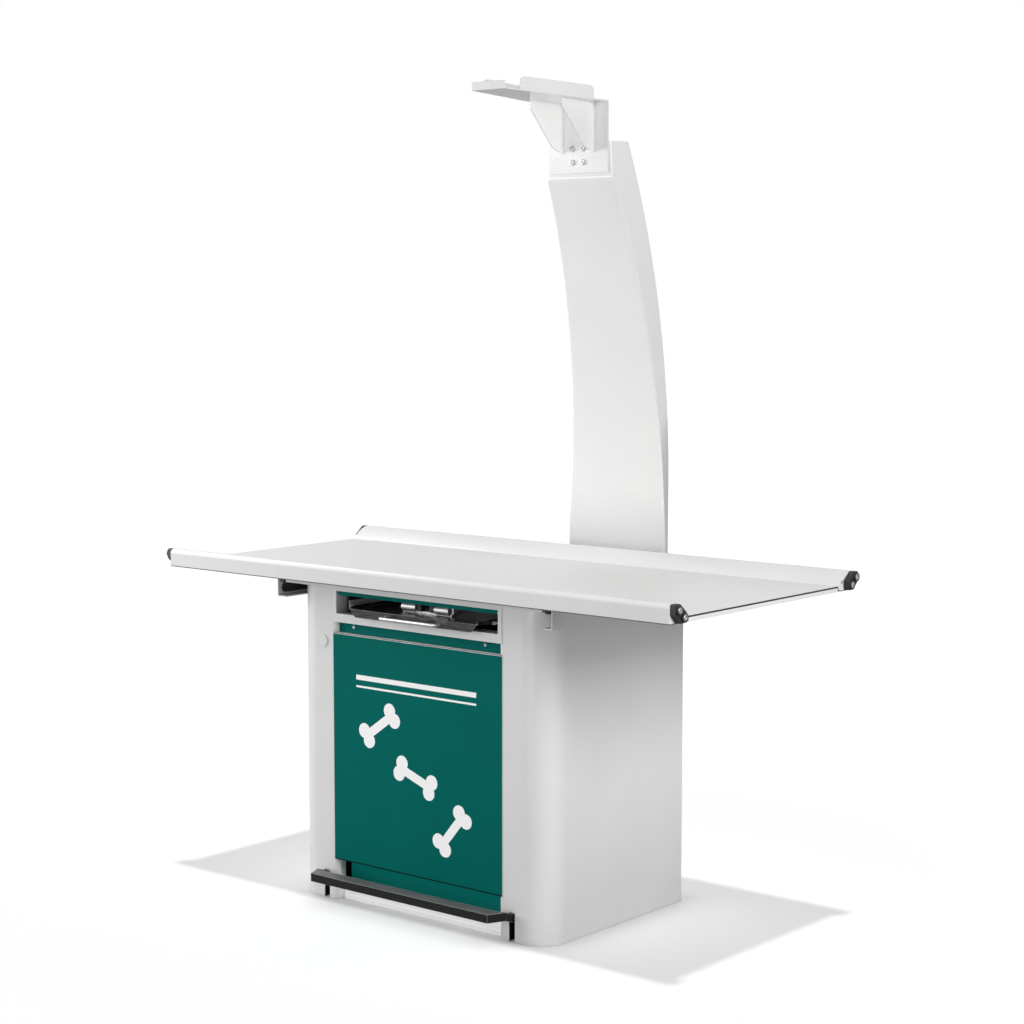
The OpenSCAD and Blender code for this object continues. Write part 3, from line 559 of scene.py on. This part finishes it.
# the tray: steel darkened as a painted dark reflection, with a strong painted highlight on its edges
traySteelValues = dict(steelValues, color=screenColor(84, 85, 87), tone=screenColor(112, 113, 115),
    stain=screenColor(60, 61, 63), rough=0.2, edge=0.0012, edgeHighlightShare=0.95)
# the strip: a painted shade, a dark line in its groove
stripValues = dict(steelValues, color=screenColor(215, 216, 217),
    paintedLightBand=(0.6597, 0.6614, screenColor(70, 72, 73)))
brightValues = dict(steelValues, color=screenColor(238, 238, 239), tone=screenColor(246, 246, 247),
    rough=0.36, edge=0.0012, edgeHighlightShare=0.9)
zincValues = dict(steelValues, color=screenColor(178, 180, 184), tone=screenColor(200, 201, 204),
    stain=screenColor(150, 152, 158), stretch=(40.0, 40.0, 40.0), rough=0.34, bump=0.35)
rubberValues = {
    "color": screenColor(26, 26, 27), "tone": screenColor(33, 33, 34), "edgeHighlightColor": screenColor(60, 60, 60),
    "edgeHighlightShare": 0.35, "rough": 0.62, "peel": 900.0, "cloud": 40.0, "edge": 0.0012,
    "bump": 0.5, "depth": 0.0005,
}
nylonValues = dict(rubberValues, color=screenColor(30, 30, 32), tone=screenColor(38, 38, 40),
    rough=0.45, bump=0.25)
sheetValues = {
    "color": screenColor(229, 229, 228), "tone": screenColor(225, 225, 224),
    "speck": screenColor(213, 213, 213), "wipe": screenColor(214, 215, 216),
    "core": screenColor(46, 46, 48), "speckTone": 0.12, "wipeTone": 0.12, "wipeStretch": (5, 90, 5),
    "rough": 0.32, "peel": 500.0, "cloud": 2.2, "bump": 0.1, "depth": 0.0003,
}

whitePaint = paintMaterial("whitePowderCoat", whiteValues)
columnPaint = paintMaterial("columnPowderCoat", columnValues)
skinPaint = paintMaterial("columnSkinPaintedHighlight", skinValues)
railPaint = paintMaterial("railPaint", railValues)
basePaint = paintMaterial("baseRailCoat", baseValues)
greenPaint = paintMaterial("greenPowderCoat", greenValues)
doorPaint = paintMaterial("greenPrintedPanel", doorValues)
plinthPaint = paintMaterial("greenPlinth", plinthValues)
blackPaint = paintMaterial("blackPowderCoat", blackValues)
stainless = metalMaterial("brushedStainless", steelValues)
pedalPaint = paintMaterial("wornPedalCoat", pedalValues)
traySteel = metalMaterial("trayDarkReflectionSteel", traySteelValues)
stripSteel = metalMaterial("groovedStripPaintedShade", stripValues)
brightSteel = metalMaterial("polishedSteel", brightValues)
zinc = metalMaterial("zincPlate", zincValues)
rubber = softMaterial("blackRubber", rubberValues)
nylon = softMaterial("blackNylon", nylonValues)
laminate = sheetMaterial("paleLaminate", sheetValues)

finishes = {
    "left_shell right_shell rear_panel top_rail tray_slides post_cap": whitePaint,
    "left_channel right_channel front_cross_rail rear_cross_rail end_battens": whitePaint,
    # painted shade: the roller brackets are black to stand for the shade inside the channels
    "table_roller_brackets": blackPaint,
    "channel_liners": nylon,
    "front_rail rear_rail rail_end_plates": railPaint,
    "column column_base column_ties head_bracket head_tray": columnPaint,
    "upper_panel bay_fascia": greenPaint,
    "plinth_panel": plinthPaint,
    "front_panel": doorPaint,
    "base_rail bay_rail": basePaint,
    "bay_housing cabinet_base": blackPaint,
    "pedal_bar": pedalPaint,
    "panel_edge_strip": stripSteel,
    "front_jaw rear_jaw tray_handle": brightSteel,
    "brake_plate": stainless,
    "cassette_tray": traySteel,
    "panel_screws roller_pins rod_guides pedal_bearings tie_bolts head_screws end_screws": zinc,
    "table_keepers pedal_shaft left_brake_rod right_brake_rod": zinc,
    "left_brake_spring right_brake_spring": zinc,
    "end_buffers front_jaw_grips": rubber,
    "table_sheet": laminate,
}


def coatNode(name, mat):
    nodes[name].data.materials.clear()
    nodes[name].data.materials.append(mat)


for names, mat in finishes.items():
    for name in names.split():
        coatNode(name, mat)
for name in nodes:
    if name.endswith("_roller"):
        coatNode(name, nylon)
print("materials placed")


# column skin: the same rule as the source's loft, with finer steps and rounder corners

columnSkin = {
    "front": 0.778, "arcStart": 0.98, "bendRadius": 1.98, "depth": 0.102, "top": 1.852, "mount": 1.765,
    "halfWidth": 0.158, "taper": 0.06, "backHalf": 0.094, "backTaper": 0.0165, "tableHeight": 0.86,
    "floor": 0.008, "middle": 0.4, "frontCorner": (0.006, 8), "backCorner": (0.022, 10),  # cut, steps
    "steps": 60, "seatSteps": 6, "cabinetHalf": 0.2625, "facesFront": -0.7, "sharp": 40,
}


def columnSection(v, z):
    over = max(z - v["tableHeight"], 0)
    middle, outer = v["front"] - v["bendRadius"], v["bendRadius"] + v["depth"]
    front = middle + math.sqrt(v["bendRadius"] ** 2 - max(min(z, v["mount"]) - v["arcStart"], 0) ** 2)
    back = middle + math.sqrt(outer ** 2 - max(z - v["arcStart"], 0) ** 2)
    wide, narrow = v["halfWidth"] - v["taper"] * over, v["backHalf"] + v["backTaper"] * over
    corners = [Vector(a) for a in ((-wide, front), (wide, front), (narrow, back), (-narrow, back))]
    points = []
    for i, (cut, count) in enumerate((v["frontCorner"], v["frontCorner"], v["backCorner"], v["backCorner"])):
        corner, before, after = corners[i], corners[i - 1], corners[(i + 1) % 4]
        p = corner + (before - corner).normalized() * cut
        q = corner + (after - corner).normalized() * cut
        for k in range(count + 1):
            t = k / count
            points.append((1 - t) ** 2 * p + 2 * t * (1 - t) * corner + t * t * q)
    return [Vector((a.x, a.y - v["cabinetHalf"], z)) for a in points]


def buildColumn(v):
    heights = [v["floor"], v["middle"], v["tableHeight"]]
    heights += [v["arcStart"] + (v["mount"] - v["arcStart"]) * i / v["steps"] for i in range(v["steps"] + 1)]
    seat = v["seatSteps"]
    heights += [v["mount"] + (v["top"] - v["mount"]) * i / seat for i in range(1, seat + 1)]
    bm = bmesh.new()
    skinRings(bm, [[bm.verts.new(p) for p in columnSection(v, z)] for z in heights], smooth=True)
    for f in bm.faces:  # only the front carries the painted highlight along the bend
        f.material_index = int(f.normal.y < v["facesFront"])
    item = meshItem("columnSkin", bm, columnPaint, skinPaint)
    item.data.set_sharp_from_angle(angle=math.radians(v["sharp"]))
    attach(item, "cabinet")
    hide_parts("column")


buildColumn(columnSkin)
print("column skin built")


# screws: one Geometry Nodes tree sets a head with a hexagon socket and a shank on each point

screwSizes = {  # label in the tree: key in a set's values, and its default
    "Head Radius": ("head", 0.005), "Head Height": ("height", 0.003), "Socket Radius": ("socket", 0.002),
    "Shank Radius": ("shank", 0.002), "Shank Length": ("length", 0.008),
}
screwForm = {
    "rimSides": 40, "socketSides": 6, "shankSides": 24, "rim": 0.72, "crown": 0.8, "socketRise": 0.45,
    "mostTurn": 1.05, "seed": 7,
}


def makeScrewTree(v):
    tree = bpy.data.node_groups.new("screwSet", "GeometryNodeTree")
    face = tree.interface
    face.new_socket(name="Geometry", in_out="INPUT", socket_type="NodeSocketGeometry")
    for label, (_, value) in screwSizes.items():
        face.new_socket(name=label, in_out="INPUT", socket_type="NodeSocketFloat").default_value = value
    face.new_socket(name="Finish", in_out="INPUT", socket_type="NodeSocketMaterial")
    face.new_socket(name="Geometry", in_out="OUTPUT", socket_type="NodeSocketGeometry")
    n, link = tree.nodes.new, tree.links.new
    gin, gout = n("NodeGroupInput"), n("NodeGroupOutput")

    def drum(vertices, radiusTop, radiusBottom, depth):
        item = n("GeometryNodeMeshCone")
        item.inputs["Vertices"].default_value = vertices
        for label, size in (("Radius Top", radiusTop), ("Radius Bottom", radiusBottom), ("Depth", depth)):
            link(size, item.inputs[label])
        return item.outputs["Mesh"]

    def scaled(value, factor):
        item = n("ShaderNodeMath")
        item.operation = "MULTIPLY"
        link(value, item.inputs[0])
        item.inputs[1].default_value = factor
        return item.outputs[0]

    def moved(mesh, height):
        place = n("ShaderNodeCombineXYZ")
        link(height, place.inputs["Z"])
        item = n("GeometryNodeTransform")
        link(mesh, item.inputs["Geometry"])
        link(place.outputs[0], item.inputs["Translation"])
        return item.outputs["Geometry"]

    radius, height = gin.outputs["Head Radius"], gin.outputs["Head Height"]
    lower = drum(v["rimSides"], radius, radius, scaled(height, v["rim"]))
    crown = drum(v["rimSides"], scaled(radius, v["crown"]), radius, scaled(height, 1 - v["rim"]))
    crown = moved(crown, scaled(height, v["rim"]))
    head = n("GeometryNodeMeshBoolean")
    head.operation = "UNION"
    link(lower, head.inputs["Mesh 2"])
    link(crown, head.inputs["Mesh 2"])
    hole = gin.outputs["Socket Radius"]
    socket = moved(drum(v["socketSides"], hole, hole, height), scaled(height, v["socketRise"]))
    bored = n("GeometryNodeMeshBoolean")
    bored.operation = "DIFFERENCE"
    link(head.outputs["Mesh"], bored.inputs["Mesh 1"])
    link(socket, bored.inputs["Mesh 2"])
    thin, length = gin.outputs["Shank Radius"], gin.outputs["Shank Length"]
    shank = moved(drum(v["shankSides"], thin, thin, length), scaled(length, -1.0))
    both = n("GeometryNodeJoinGeometry")
    link(bored.outputs["Mesh"], both.inputs["Geometry"])
    link(shank, both.inputs["Geometry"])

    def named(label, kind):
        item = n("GeometryNodeInputNamedAttribute")
        item.data_type = kind
        item.inputs["Name"].default_value = label
        return item.outputs["Attribute"]

    turn = n("FunctionNodeAlignRotationToVector")
    turn.axis = "Z"
    link(named("facing", "FLOAT_VECTOR"), turn.inputs["Vector"])
    spin = n("FunctionNodeRandomValue")
    spin.data_type = "FLOAT"
    spin.inputs[2].default_value = 0.0
    spin.inputs[3].default_value = v["mostTurn"]
    spin.inputs["Seed"].default_value = v["seed"]
    local = n("FunctionNodeAxisAngleToRotation")
    local.inputs["Axis"].default_value = (0, 0, 1)
    link(spin.outputs[1], local.inputs["Angle"])
    rotate = n("FunctionNodeRotateRotation")
    rotate.rotation_space = "LOCAL"
    link(turn.outputs["Rotation"], rotate.inputs["Rotation"])
    link(local.outputs["Rotation"], rotate.inputs["Rotate By"])
    points = n("GeometryNodeMeshToPoints")
    link(gin.outputs["Geometry"], points.inputs["Mesh"])
    copies = n("GeometryNodeInstanceOnPoints")
    link(points.outputs["Points"], copies.inputs["Points"])
    link(both.outputs["Geometry"], copies.inputs["Instance"])
    link(rotate.outputs["Rotation"], copies.inputs["Rotation"])
    link(named("size", "FLOAT"), copies.inputs["Scale"])
    real = n("GeometryNodeRealizeInstances")
    link(copies.outputs["Instances"], real.inputs["Geometry"])
    finish = n("GeometryNodeSetMaterial")
    link(real.outputs["Geometry"], finish.inputs["Geometry"])
    link(gin.outputs["Finish"], finish.inputs["Material"])
    link(finish.outputs["Geometry"], gout.inputs["Geometry"])
    return tree


screwTree = makeScrewTree(screwForm)


def buildScrews(name, body, node, values):
    seeds = bpy.data.meshes.new(name + "Points")
    seeds.from_pydata([p[0] for p in values["points"]], [], [])
    for label, kind in (("facing", "FLOAT_VECTOR"), ("size", "FLOAT")):
        seeds.attributes.new(label, kind, "POINT")
    for i, (_, direction, factor) in enumerate(values["points"]):
        seeds.attributes["facing"].data[i].vector = direction
        seeds.attributes["size"].data[i].value = factor
    item = placeItem(name, seeds)
    mod = item.modifiers.new("screws", "NODES")
    mod.node_group = screwTree
    ids = {s.name: s.identifier for s in screwTree.interface.items_tree if s.in_out == "INPUT"}
    for label, (key, _) in screwSizes.items():
        mod[ids[label]] = values[key]
    mod[ids["Finish"]] = zinc
    bpy.context.view_layer.update()
    made = bpy.data.meshes.new_from_object(item.evaluated_get(bpy.context.evaluated_depsgraph_get()))
    item.modifiers.clear()
    item.data = made
    made.name = name
    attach(item, body)
    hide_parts(node)


front, back, left, right = (0, -1, 0), (0, 1, 0), (-1, 0, 0), (1, 0, 0)  # ways that screws face

headScrews = {
    "across": (-0.017, 0.017), "levels": (1.802, 1.836),
    "head": 0.007, "height": 0.004, "socket": 0.0034, "shank": 0.004, "length": 0.014,
}


def headScrewPoints(v):
    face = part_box("head_screws")[0].y + v["height"]
    return [((x, face, z), front, 1.0) for x in v["across"] for z in v["levels"]]


headScrews["points"] = headScrewPoints(headScrews)
buildScrews("headScrews", "cabinet", "head_screws", headScrews)

endScrews = {
    "bufferFace": 0.795, "plateFace": 0.778, "frontEdge": -0.3275, "rearEdge": 0.4075,
    "lower": (0.032, 0.801), "upper": (0.013, 0.818), "plate": (0.0515, 0.8085),  # in from the edge, level
    "plateSize": 0.57,
    "head": 0.007, "height": 0.0025, "socket": 0.0032, "shank": 0.0035, "length": 0.024,
}


def endScrewPoints(v):
    points = []
    for x, direction in ((-1, left), (1, right)):
        for edge, inward in ((v["frontEdge"], 1), (v["rearEdge"], -1)):
            for label in ("lower", "upper"):
                offset, height = v[label]
                points.append(((x * v["bufferFace"], edge + inward * offset, height), direction, 1.0))
            offset, height = v["plate"]
            points.append(((x * v["plateFace"], edge + inward * offset, height), direction, v["plateSize"]))
    return points


endScrews["points"] = endScrewPoints(endScrews)
buildScrews("endScrews", "floating_top", "end_screws", endScrews)

panelScrews = {
    "upperFace": -0.2515, "upperAcross": (-0.208, 0.208), "upperLevel": 0.677, "upperSize": 0.8,
    "rearFace": 0.264, "rearAcross": (-0.371, 0.371), "rearLevels": (0.11, 0.29, 0.47, 0.65),
    "head": 0.005, "height": 0.0028, "socket": 0.0024, "shank": 0.0025, "length": 0.0085,
}


def panelScrewPoints(v):
    upper = [((x, v["upperFace"], v["upperLevel"]), front, v["upperSize"]) for x in v["upperAcross"]]
    return upper + [((x, v["rearFace"], z), back, 1.0) for x in v["rearAcross"] for z in v["rearLevels"]]


panelScrews["points"] = panelScrewPoints(panelScrews)
buildScrews("panelScrews", "cabinet", "panel_screws", panelScrews)
print("screws built")


# nylon guides that line the slots of the pedal arms

slotGuide = {
    "inner": 0.2857, "outer": 0.3043, "wall": 0.0016, "top": 0.0692, "bottom": 0.001,
    "front": -0.2608, "depth": 0.03, "lip": 0.004,
}


def buildSlotGuides(v):
    bm = bmesh.new()
    low, high, wall, lip = v["inner"], v["outer"], v["wall"], v["lip"]
    foot, top = v["bottom"], v["top"]
    outline = [(low, foot), (low, top), (high, top), (high, foot),
        (high + wall, foot), (high + wall, top + wall), (low - wall, top + wall), (low - wall, foot)]
    flare = [(x + (lip if x > high else -lip if x < low else 0), z + (lip if z > top else 0))
        for x, z in outline]
    rear = v["front"] + v["depth"]
    levels = [(v["front"], outline), (rear, outline), (rear + lip, flare)]
    for side in (-1, 1):
        rings = [[bm.verts.new((side * x, y, z)) for x, z in plan] for y, plan in levels]
        skinRings(bm, rings, smooth=False)
    item = meshItem("slotGuides", bm, nylon)
    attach(item, "cabinet")


buildSlotGuides(slotGuide)
print("slot guides built")


# brake springs: pieces of their own, since a pressed pedal closes their coils

coil = {
    "wire": 0.0012, "turns": 7, "flatTurns": 1.0, "flatRise": 2.4, "steps": 24, "sides": 8,
    "travel": 0.0105,
}


def coilRise(v, flat, turn):  # share of the height reached at a turn: flat ends, an even pitch between
    if turn < v["flatTurns"]:
        return flat * turn / v["flatTurns"]
    if turn > v["turns"] - v["flatTurns"]:
        return 1 - flat * (v["turns"] - turn) / v["flatTurns"]
    return flat + (1 - 2 * flat) * (turn - v["flatTurns"]) / (v["turns"] - 2 * v["flatTurns"])


def buildBrakeSpring(side, v):
    low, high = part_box(side + "_brake_spring")
    x, y = (low[0] + high[0]) / 2, (low[1] + high[1]) / 2
    radius = (high[0] - low[0]) / 2 - v["wire"]
    bottom, height = low[2] + v["wire"], high[2] - low[2] - 2 * v["wire"]
    flat = v["flatRise"] * v["wire"] / height
    rings = []
    bm = bmesh.new()
    for i in range(v["turns"] * v["steps"] + 1):
        turn = i / v["steps"]
        rise = bottom + coilRise(v, flat, turn) * height
        angle = 2 * math.pi * turn
        ring = []
        for k in range(v["sides"]):
            around = 2 * math.pi * k / v["sides"]
            reach = radius + v["wire"] * math.cos(around)
            z = rise + v["wire"] * math.sin(around)
            ring.append(bm.verts.new((x + reach * math.cos(angle), y + reach * math.sin(angle), z)))
        rings.append(ring)
    skinRings(bm, rings, smooth=True)
    item = meshItem(side + "BrakeCoil", bm, zinc)
    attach(item, "cabinet")
    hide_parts(side + "_brake_spring")
    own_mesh(item)


for side in ("left", "right"):
    buildBrakeSpring(side, coil)
print("brake springs built")


# stage: plain white floor that keeps the top's shadow, and soft light fitted to the photograph's tones

# the floor's glow is dimmed near the table's base: a painted shadow there
stageValues = {
    "floorSize": 60.0, "floorColor": screenColor(228, 228, 228), "nearLift": 0.6, "farLift": 0.72,
    "floorRough": 0.9, "nearReach": 1.0, "farReach": 2.4, "worldLight": 0.08, "worldSeen": 1.0,
    "contactReach": 0.12, "contactOpen": 0.97, "contactShadow": 0.5,
}


def buildStage(v):
    bm = bmesh.new()
    bmesh.ops.create_grid(bm, x_segments=1, y_segments=1, size=v["floorSize"] / 2)
    mat, tree, shader, place = newMaterial("studioFloorPaint")
    shader.inputs["Base Color"].default_value = v["floorColor"]
    shader.inputs["Roughness"].default_value = v["floorRough"]
    shader.inputs["Specular IOR Level"].default_value = 0.0
    path = tree.nodes.new("ShaderNodeLightPath")
    span = tree.nodes.new("ShaderNodeVectorMath")
    span.operation = "LENGTH"
    tree.links.new(place, span.inputs[0])
    lift = rangeNode(tree, span.outputs["Value"], low=v["nearReach"], high=v["farReach"],
        toLow=v["nearLift"], toHigh=v["farLift"])
    # painted shadow: less glow where the table's base is near
    shade = placeGroup(tree, seamShade, values={"Reach": v["contactReach"], "Open": v["contactOpen"]})
    lift = mathNode(tree, "SUBTRACT", lift, mathNode(tree, "MULTIPLY", shade["Seam"], v["contactShadow"]))
    seen = mathNode(tree, "MULTIPLY", path.outputs["Is Camera Ray"], lift)
    tree.links.new(seen, shader.inputs["Emission Strength"])
    shader.inputs["Emission Color"].default_value = pureWhite
    floor = meshItem("studioFloor", bm, mat)
    return floor


def buildWorld(v):
    world = bpy.data.worlds.new("studioWorld")
    world.use_nodes = True
    tree = world.node_tree
    tree.nodes.clear()
    out = tree.nodes.new("ShaderNodeOutputWorld")
    lit = tree.nodes.new("ShaderNodeBackground")
    lit.inputs["Strength"].default_value = v["worldLight"]
    seen = tree.nodes.new("ShaderNodeBackground")
    seen.inputs["Strength"].default_value = v["worldSeen"]
    path = tree.nodes.new("ShaderNodeLightPath")
    mix = tree.nodes.new("ShaderNodeMixShader")
    clear = mathNode(tree, "MAXIMUM", path.outputs["Is Camera Ray"], path.outputs["Is Glossy Ray"])
    tree.links.new(clear, mix.inputs["Fac"])
    for bg in (lit, seen):
        bg.inputs["Color"].default_value = pureWhite
    tree.links.new(lit.outputs[0], mix.inputs[1])
    tree.links.new(seen.outputs[0], mix.inputs[2])
    tree.links.new(mix.outputs[0], out.inputs["Surface"])
    bpy.context.scene.world = world


def addArea(name, v, lit, blockers=None):  # soft panel that lights the table and leaves the floor clean
    data = bpy.data.lights.new(name, "AREA")
    data.shape = "RECTANGLE"
    data.size, data.size_y = v["size"]
    data.energy = v["energy"]
    item = placeItem(name, data)
    item.location = v["place"]
    faceAlong(item, Vector(v["aim"]) - Vector(v["place"]))
    item.light_linking.receiver_collection = lit
    if blockers:
        item.light_linking.blocker_collection = blockers


def addOverhead(v, lit, blockers):  # nearly straight down: the top's shadow lies right under it
    data = bpy.data.lights.new("overhead", "SUN")
    data.energy = v["strength"]
    data.angle = math.radians(v["spread"])
    item = placeItem("overhead", data)
    item.rotation_euler = [math.radians(a) for a in v["lean"]]
    item.light_linking.receiver_collection = lit
    item.light_linking.blocker_collection = blockers


tablePieces = bpy.data.collections.new("tablePieces")
cabinetPieces = bpy.data.collections.new("cabinetPieces")
columnPieces = bpy.data.collections.new("columnPieces")
lowPieces = bpy.data.collections.new("lowPieces")
shadowPieces = bpy.data.collections.new("shadowPieces")
for item in bpy.context.scene.objects:  # the column, the head and the pedal throw no shadow on the floor
    if item.type != "MESH":
        continue
    tablePieces.objects.link(item)
    upper = item.name.startswith(("column", "head"))
    (columnPieces if upper else cabinetPieces).objects.link(item)
    if item.name in ("plinth_panel", "base_rail"):
        lowPieces.objects.link(item)
    if not upper and not item.name.startswith("pedal"):
        shadowPieces.objects.link(item)
floor = buildStage(stageValues)
floorOnly = bpy.data.collections.new("floorOnly")
floorOnly.objects.link(floor)
buildWorld(stageValues)
overhead = {"strength": 1.25, "spread": 2.6, "lean": (3.0, 2.5, 0.0)}
addOverhead(overhead, floorOnly, shadowPieces)
lights = {
    "leftLight": dict(place=(-3.8, -1.6, 1.6), aim=(-0.2, 0.0, 1.0), size=(1.6, 1.6), energy=138.0),
    "rightLight": dict(place=(4.2, -1.1, 3.1), aim=(0.4, 0.0, 0.7), size=(2.2, 2.2), energy=178.0),
    "lowRightLight": dict(place=(4.9, -0.5, 1.5), aim=(0.4, 0.0, 0.6), size=(1.8, 1.4), energy=30.0),
    "frontLight": dict(place=(0.2, -4.6, 0.7), aim=(0.0, 0.0, 0.5), size=(2.0, 1.0), energy=45.0),
    "nearLeftLight": dict(place=(-2.4, -0.6, 2.6), aim=(-0.5, 0.0, 0.8), size=(1.2, 1.2), energy=26.0),
}
for name, v in lights.items():  # the right one leaves out the column and its head
    addArea(name, v, cabinetPieces if name == "rightLight" else tablePieces)
# they have a side light of their own in its place, which no piece of the table blocks
columnLight = dict(lights["rightLight"], energy=140.0)
addArea("columnLight", columnLight, columnPieces, floorOnly)
# the plinth and the base rail get a little light that the pedal doesn't block
lowLight = dict(place=(0.3, -3.0, 0.5), aim=(0.0, 0.0, 0.05), size=(1.6, 0.4), energy=34.0)
addArea("lowLight", lowLight, lowPieces, floorOnly)
print("stage lit")
